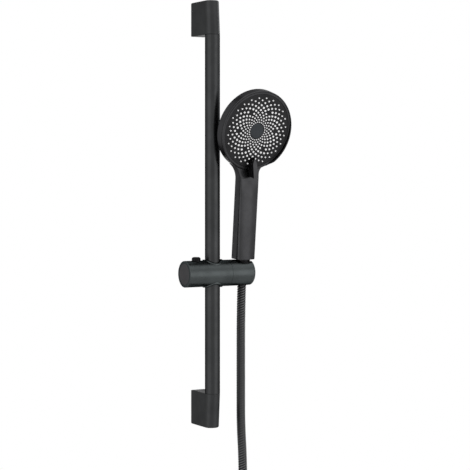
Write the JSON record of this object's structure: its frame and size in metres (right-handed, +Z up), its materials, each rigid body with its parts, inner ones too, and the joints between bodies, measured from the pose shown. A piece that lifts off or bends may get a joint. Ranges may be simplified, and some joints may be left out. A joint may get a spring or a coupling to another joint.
{
  "type": "shower riser bar",
  "caption": "Matte black shower riser bar on two wall posts, with a cylindrical slider, a tilting holder and a round hand shower on a ribbed metal hose",
  "frame": {"origin": "midway between the two wall-screw holes, on the wall's plane", "axes": "+Z up along the bar, +Y into the wall, +X to the right seen from the front"},
  "size_m": [0.2308, 0.1033, 0.9439],
  "materials": {
    "black_metal": "matte",
    "slider_black": "satin",
    "black_plastic": "satin",
    "inner_plastic": "matte",
    "steel": "satin",
    "satin_cap": "satin",
    "brass": "black plated",
    "rubber": "matte",
    "hose_metal": "satin"
  },
  "bodies": {
    "rail": {"riser_tube": "black_metal", "upper_bracket": "black_metal", "lower_bracket": "black_metal", "upper_wall_plate": "inner_plastic", "lower_wall_plate": "inner_plastic", "upper_tube_spigot": "inner_plastic", "lower_tube_spigot": "inner_plastic", "bracket_set_screws": "steel"},
    "carriage": {"grip_liner": "inner_plastic"},
    "slider": {"slider_body": "slider_black", "slider_sleeve": "slider_black", "slider_end_plug": "slider_black", "brake_spring": "steel", "friction_ring": "inner_plastic", "pivot_screw": "steel", "pivot_washer": "steel", "hose_run": "hose_metal", "hose_coil": "hose_metal", "coil_ties": "inner_plastic", "hose_tail": "hose_metal", "hose_end_ferrule": "brass"},
    "holder": {"handset_holder": "slider_black", "hose_cone_nut": "black_plastic", "inlet_spigot": "brass", "inlet_washer": "rubber", "handset_shell": "black_plastic", "spray_plate": "black_plastic", "centre_cap": "satin_cap", "face_screw": "steel", "hose_top": "hose_metal"},
    "selector": {"spray_selector": "black_plastic", "valve_disc": "inner_plastic"},
    "button": {"release_button": "black_metal"},
    "shoe": {"brake_shoe": "inner_plastic"},
    "hose_nut": {"hose_end_nut": "black_metal"}
  },
  "joints": [
    {"name": "slider_slide", "type": "slide", "parent": "rail", "child": "carriage", "axis": [0, 0, 1], "range_m": [-0.153, 0.326]},
    {"name": "slider_swivel", "type": "hinge", "parent": "carriage", "child": "slider", "pos_m": [0, -0.045, -0.0865], "axis": [0, 0, 1], "range_deg": [-30, 10]},
    {"name": "holder_tilt", "type": "hinge", "parent": "slider", "child": "holder", "pos_m": [0.0243, -0.045, -0.0865], "axis": [1, 0, 0], "range_deg": [-2, 40], "deforming": ["hose_top"]},
    {"name": "selector_turn", "type": "hinge", "parent": "holder", "child": "selector", "pos_m": [0.05174, -0.08442, 0.12071], "axis": [0.075, -0.9487, -0.3071], "range_deg": [-20, 20]},
    {"name": "button_press", "type": "slide", "parent": "slider", "child": "button", "axis": [0, 0, -1], "range_m": [0, 0.0025], "stiffness_N_per_m": 2000},
    {"name": "shoe_release", "type": "slide", "parent": "slider", "child": "shoe", "axis": [-1, 0, 0], "range_m": [0, 0.0025], "deforming": ["brake_spring"]},
    {"name": "hose_nut_turn", "type": "hinge", "parent": "slider", "child": "hose_nut", "pos_m": [0.1703, -0.07458, -0.50829], "axis": [0, 0, 1], "continuous": true}
  ],
  "couplings": [
    {"joint": "shoe_release", "follows": "button_press", "ratio": 1}
  ]
}
